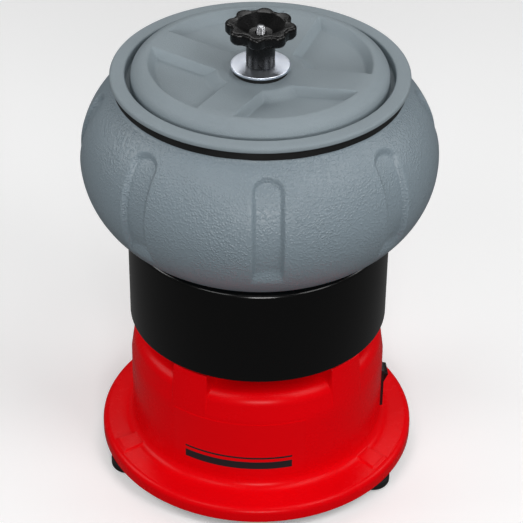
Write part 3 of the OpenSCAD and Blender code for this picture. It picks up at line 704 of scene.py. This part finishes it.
def make_base(material):
    flange_r = 110.0
    low = rounded([(107, 7), (flange_r, 7, 2.0), (flange_r, 18, 4.5), (96, 19.2)], 7)[:-1]
    low += steps_between(low[-1], (96, 19.2), 20)
    fillet = arc(TOWER_R + 7, 26.4, 7, 262, 180, 12)
    wall = steps_between(fillet[-1], (88.0, 76.0), 6)
    outside = low + fillet + wall
    # the shoulder, and the turret top over it, matched radius by radius
    shoulder = [(88.0, 76.0)] + steps_between((88.0, 76.0), (86.35, 87.4), 5)
    shoulder += arc(76.4, 86.5, 10, 6, 66, 16)
    shoulder += steps_between(shoulder[-1], (70.0, 98.4), 12)
    shoulder += steps_between((70.0, 98.4), (50.6, 99.9), 30)
    shoulder += [(50.3, 99.7), (50.0, 99.3)]
    turret_wall = [(88.0, 76.0), (85.8, 106.0), (85.55, 106.75), (85.0, 107.2), (40.0, 107.2)]
    tr = np.array([p[0] for p in turret_wall])[::-1]
    tz = np.array([p[1] for p in turret_wall])[::-1] - 107.2 + TURRET_TOP
    inside = [(50.0, 97.5), (50.3, 97.1)] + steps_between((50.5, 97.0), (70.0, 95.4), 24)
    inside += steps_between((70.0, 95.4), (79.7, 92.6), 10)
    inside += arc(76.4, 86.5, 7, 62, 8, 10) + [(85.0, 76.0)]
    inside += steps_between((85.0, 76.0), (85.0, 60.5), 10)
    inside += [(85.0, 60.0), (85.0, 40.0), (85.0, 23.0), (92.0, 16.2), (105.5, 15.0), (107.0, 13.5)]
    line = np.array(outside + shoulder + inside, float)
    turn = base_columns()
    columns = len(turn)
    r = np.repeat(line[:, :1], columns, 1)
    z = np.repeat(line[:, 1:], columns, 1)
    start = len(outside)
    on_top = slice(start, start + len(shoulder))
    within = slice(start + len(shoulder), len(line))
    weight = np.zeros_like(r)
    for spring in SPRING_TURNS:
        off = turn - from_front(spring)
        u, v = r * np.cos(off), np.abs(r * np.sin(off))
        weight = np.maximum(weight, smooth_step((13.9 - v) / 0.9) * smooth_step((u - 57.6) / 0.9))
    high = np.interp(r[on_top], tr, tz)
    w = weight[on_top]
    z[on_top] = z[on_top] * (1 - w) + np.maximum(high, z[on_top]) * w
    w = weight[within]
    z[within] = z[within] * (1 - w) + np.minimum(z[within], 60.0) * w
    # raised pads over the feet
    zone = slice(0, start)
    for foot in FEET_TURNS:
        off = np.degrees((turn - from_front(foot) + math.pi) % (2 * math.pi) - math.pi)
        side = smooth_step((4.6 - np.abs(off)) * np.pi / 180 * r[zone] / 1.3)
        edge = smooth_step((105.9 - r[zone]) / 2.2)
        pad = 19.8 + (105.2 - r[zone]) * 0.11
        lift = np.clip(pad - z[zone], 0, None) * (z[zone] > 14) * side * edge
        z[zone] += lift
    verts = np.stack([r * np.cos(turn), r * np.sin(turn), z], -1).reshape(-1, 3)
    base = finish_piece("base_moulding", verts, outward(verts, grid_faces(len(line), columns)), "base",
                        material, "red_plastic", ("base_shell",))
    cutters = [placed(rod_mesh(10.4, 72, 140), turned(s, SPRING_RING)) for s in SPRING_TURNS]
    cutters.append(placed(block((86.8, 96), (-12.5, 12.5), (24.2, 57.8)), turned(SWITCH_TURN)))
    cutters.append(placed(block((70, 96), (-9.0, 9.0), (27.8, 54.2)), turned(SWITCH_TURN)))
    outward_lying = Matrix.Rotation(math.pi / 2, 4, "Y")
    cutters.append(placed(rod_mesh(6.5, 70, 100, 48), turned(BUSHING_TURN, 0, BUSHING_Z) @ outward_lying))
    cut(base, cutters)
    base.data.polygons.foreach_set("use_smooth", [True] * len(base.data.polygons))
    return base


# ---- small turned pieces -------------------------------------------------------------------------

def make_lathe(name, outline, body, material, slot, replaces, columns=192, steps=5, places=((0, 0),)):
    line = rounded(outline, steps)
    parts = [lathe_mesh(line, columns, at) for at in places]
    return finish_piece(name, *join(parts), body, material, slot, replaces)


def spots(turns, r):
    return [(r * math.cos(from_front(t)), r * math.sin(from_front(t))) for t in turns]


def make_drum(material):
    (_, _, z0), (_, _, z1) = span("drum_shell")
    r = 88.0
    deck = z0 + 63.5
    outline = [(r - 3, z0, 0.4), (r, z0, 1.3), (r, z1, 3.4), (82, z1, 1.2), (80, deck, 0.8), (3.1, deck, 0.2),
               (3.1, deck - 2.5, 0.2), (r - 3, deck - 2.5, 1.0)]
    return make_lathe("motor_drum", outline, "drum", material, "drum_plastic", ("drum_shell",), 256, 8)


def make_gasket(material):
    (_, _, z0), (_, _, z1) = span("rim_gasket")
    outline = rounded([(89.6, z0, 0.2), (90.9, z0, 0.1), (90.9, z0 + 3, 0.1), (92.9, z0 + 3, 0.1),
                       (92.9, z0, 0.1), (94.2, z0, 0.5), (94.2, z1, 1.0), (89.8, z1, 0.4)], 4)
    line = np.array(outline, float)
    columns = 360
    t = np.linspace(0, 2 * math.pi, columns, endpoint=False)
    r = np.repeat(line[:, :1], columns, 1)
    z = np.repeat(line[:, 1:], columns, 1)
    # the trim isn't quite round: it creeps in and out a little
    creep = 0.28 * np.sin(5 * t + 0.4) * np.sin(3 * t + 1.1) + 0.12 * np.sin(23 * t)
    r += np.where(line[:, :1] > 93.2, np.minimum(creep, 0.0)[None, :], 0)
    verts = np.stack([r * np.cos(t), r * np.sin(t), z], -1).reshape(-1, 3)
    return finish_piece("rim_trim", verts, outward(verts, grid_faces(len(line), columns)), "drum", material,
                        "gasket_rubber", ("rim_gasket",))


def make_knob(material):
    (_, _, z0), (_, _, z1) = span("star_knob")
    hub, lobe, ring, valley = 9.3, 5.2, 17.6, 19.6
    under = z1 - 8.5
    columns = 384
    t = np.linspace(0, 2 * math.pi, columns, endpoint=False)
    off = (t - math.radians(82) + math.pi / 8) % (math.pi / 4) - math.pi / 8
    reach = ring * np.cos(off) + np.sqrt(np.maximum(lobe ** 2 - (ring * np.sin(off)) ** 2, 0))
    reach = np.where(np.abs(ring * np.sin(off)) < lobe, reach, 0)
    rim = soft_max(reach, np.full(columns, valley), 1.6)
    rim = np.minimum(rim, ring + lobe)
    # (share of the lobed rim, plain radius, z): radius = share * rim + plain
    line = []
    stem = [(5.55, z0, 0.2), (hub, z0, 0.5), (hub, under - 0.2, 2.2), (hub + 7, under - 0.2)]
    for r, z in rounded(stem, 6)[:-1]:
        line.append((0.0, r, z))
    for k in range(1, 8):
        line.append((k / 8, (1 - k / 8) * (hub + 3), under + 0.5 * (k / 8) ** 2))
    edge = 2.2
    for a in np.linspace(-90, 90, 19):
        c, s = math.cos(math.radians(a)), math.sin(math.radians(a))
        middle = under + 0.5 + edge if a < 0 else z1 - edge
        line.append((1.0, edge * (c - 1), middle + edge * s))
    for inset, z in ((3.2, z1), (4.2, z1 - 0.05)):
        line.append((1.0, -inset, z))
    for r, z in rounded([(17.0, z1 - 0.1), (15.2, z1 - 0.3, 1.2), (7.4, z1 - 6.2, 1.4), (3.5, z1 - 6.4, 0.5),
                         (3.3, z0 + 15), (5.55, z0 + 14.1, 0.1)], 5)[1:]:
        line.append((0.0, r, z))
    share, plain, height = np.array(line).T
    r = share[:, None] * rim + plain[:, None]
    z = np.repeat(height[:, None], columns, 1)
    verts = np.stack([r * np.cos(t), r * np.sin(t), z], -1).reshape(-1, 3)
    return finish_piece("lid_knob", verts, outward(verts, grid_faces(len(line), columns)), "knob", material,
                        "knob_plastic", ("star_knob",))


def make_rod(material):
    """The centre rod with a rolled thread of 1 mm pitch."""
    (_, _, z0), (_, _, z1) = span("centre_rod")
    zs = np.concatenate([[z0], np.arange(z0 + 0.3, z1 - 0.7, 0.125), [z1 - 0.6, z1 - 0.3, z1 - 0.05, z1]])
    columns = 36
    t = np.linspace(0, 2 * math.pi, columns, endpoint=False)
    phase = (zs[:, None] - t[None, :] / (2 * math.pi)) % 1.0
    tooth = np.clip(1.25 - np.abs(phase - 0.5) * 3.2, 0, 1)
    r = 2.45 + 0.53 * tooth
    taper = np.clip((z1 - zs) / 0.9, 0, 1)[:, None]
    r = np.minimum(r, 2.35 + 0.65 * taper)
    r[0] = 2.5
    verts = np.stack([r * np.cos(t), r * np.sin(t), np.repeat(zs[:, None], columns, 1)], -1).reshape(-1, 3)
    rows = len(zs)
    faces = grid_faces(rows, columns)[: (rows - 1) * columns].tolist()
    faces += [list(range(columns))[::-1], [(rows - 1) * columns + k for k in range(columns)]]
    return finish_piece("threaded_rod", verts, outward(verts, faces), "drum", material, "zinc_steel",
                        ("centre_rod",))


def coil_path(z0, z1, radius, wire, turns, steps=36):
    t = np.arange(int(turns * steps) + 1) / steps
    low, high, grip = z0 + wire, z1 - wire, 2.1 * wire
    k = np.clip((t - 1) / (turns - 2), 0, 1)
    z = np.where(t < 1, low + grip * t, np.where(t > turns - 1, high - grip * (turns - t),
                                                 low + grip + (high - low - 2 * grip) * k))
    a = 2 * math.pi * t
    return np.stack([radius * np.cos(a), radius * np.sin(a), z], -1)


def tube(path, radius, sides=12):
    """A wire along a path, its ends closed and slightly rounded."""
    path = np.asarray(path, float)
    along = np.gradient(path, axis=0)
    along /= np.linalg.norm(along, axis=1)[:, None]
    up = np.array([0, 0, 1.0])
    side = np.cross(along, up)
    side /= np.linalg.norm(side, axis=1)[:, None]
    top = np.cross(side, along)
    b = np.linspace(0, 2 * math.pi, sides, endpoint=False)
    scale = np.full(len(path), radius)
    scale[0] = scale[-1] = radius * 0.8
    ring = path[:, None] + scale[:, None, None] * (np.cos(b)[None, :, None] * side[:, None]
                                                    + np.sin(b)[None, :, None] * top[:, None])
    rows = len(path)
    faces = grid_faces(rows, sides)[: (rows - 1) * sides].tolist()
    faces += [list(range(sides))[::-1], [(rows - 1) * sides + k for k in range(sides)]]
    verts = ring.reshape(-1, 3)
    return verts, outward(verts, faces)


def make_springs(material):
    (_, _, z0), (_, _, z1) = span("suspension_springs")
    coil = tube(coil_path(z0, z1, 7.9, 1.1, 6), 1.1)
    parts = [placed(coil, turned(s, SPRING_RING)) for s in SPRING_TURNS]
    piece = finish_piece("drum_springs", *join(parts), None, material, "spring_steel",
                         ("suspension_springs",))
    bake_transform(piece)
    return piece


# ---- putting it together -------------------------------------------------------------------------

def dress(node, material):
    """Gives a CAD node that stays its finished material."""
    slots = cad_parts[node].material_slots
    for s in slots:
        s.material = material


make_camera()
make_studio()

BOWL = bowl_plastic()
LID = lid_plastic()
RED = red_plastic()
DRUM = gloss_black("gloss_black_drum", 0.0006, (0.14, 0.22), 0.5)
KNOB = gloss_black("gloss_black_knob", 0.0025, (0.24, 0.34), 0.3, 0.03)
SATIN = gloss_black("satin_black_nylon", 0.008, (0.3, 0.42), 0.4, 0.02)
COVER = gloss_black("moulded_black_cover", 0.012, (0.45, 0.6), 0.35, 0.03)
TRIM = rubber("black_trim_rubber", 0.004)
FOOT = rubber("foot_rubber", 0.007)
CUP = rubber("cup_rubber", 0.012)
ZINC = metal("zinc_steel", (0.62, 0.63, 0.65), (0.2, 0.36), tint=(0.5, 0.52, 0.56))
SCREW = metal("screw_steel", (0.5, 0.5, 0.51), (0.28, 0.42))
SPRING = metal("spring_wire", (0.55, 0.55, 0.57), (0.22, 0.34))
PLATE = metal("zinc_sheet", (0.5, 0.51, 0.53), (0.3, 0.45), tint=(0.42, 0.44, 0.48))
CAST = metal("die_cast_aluminium", (0.62, 0.63, 0.65), (0.38, 0.55), grain_scale=350.0, depth=0.08)
GROUND = metal("ground_steel", (0.6, 0.6, 0.62), (0.12, 0.24), grain=(1, 1, 6))
TURNED = metal("turned_aluminium", (0.6, 0.61, 0.63), (0.25, 0.4), grain=(1, 1, 8))
BRASS = metal("turned_brass", (0.78, 0.55, 0.22), (0.2, 0.34), grain=(1, 1, 6))
IRON = cast_iron()

make_bowl(BOWL)
make_lid(LID)
make_base(RED)
make_drum(DRUM)
make_gasket(TRIM)
make_knob(KNOB)
make_rod(ZINC)
make_springs(SPRING)

(_, _, rz0), (_, _, rz1) = span("rubber_washer")
make_lathe("sealing_washer", [(3.5, rz0, 0.2), (17.9, rz0, 0.5), (17.9, rz1, 0.5), (3.5, rz1, 0.2)], "lid",
           TRIM, "gasket_rubber", ("rubber_washer",), 128)
(_, _, wz0), (_, _, wz1) = span("steel_washer")
make_lathe("plated_washer", [(3.3, wz0, 0.15), (19.35, wz0, 0.2), (19.35, wz1, 0.7), (3.3, wz1, 0.2)], "lid",
           bright_zinc(), "bright_zinc", ("steel_washer",), 160, 6)
(_, _, fz0), (_, _, fz1) = span("rubber_feet")
make_lathe("feet", [(4.2, fz0, 0.4), (12.2, fz0, 2.6), (12.2, fz0 + 6.8, 0.5), (7.7, fz0 + 6.8),
                    (7.7, fz1, 0.3), (1.9, fz1, 0.2), (1.9, fz0 + 4.5, 0.2), (4.2, fz0 + 4.5, 0.3)],
           "base", FOOT, "foot_rubber", ("rubber_feet",), 96, 5,
           spots(FEET_TURNS, 99.0))

dress("front_label", label_film())
for name, finish in {
    "base_cover": COVER, "cover_screws": SCREW, "foot_screws": SCREW, "switch_housing": SATIN,
    "switch_rocker": KNOB, "cord_bushing": SATIN, "terminal_block": nylon(), "motor_plate": PLATE,
    "plate_screws": SCREW, "spring_cups": CUP, "lower_bracket": CAST, "upper_bracket": CAST,
    "bracket_bolts": SCREW, "ball_bearings": GROUND, "stator_core": laminations(),
    "stator_windings": copper_wire(), "rotor_core": TURNED, "motor_shaft": GROUND, "lower_weight": IRON,
    "upper_weight": IRON, "weight_screws": SCREW, "rod_nuts": ZINC, "bowl_pad": CUP, "bowl_washer": ZINC,
    "bowl_nut": ZINC, "knob_insert": BRASS,
}.items():
    dress(name, finish)
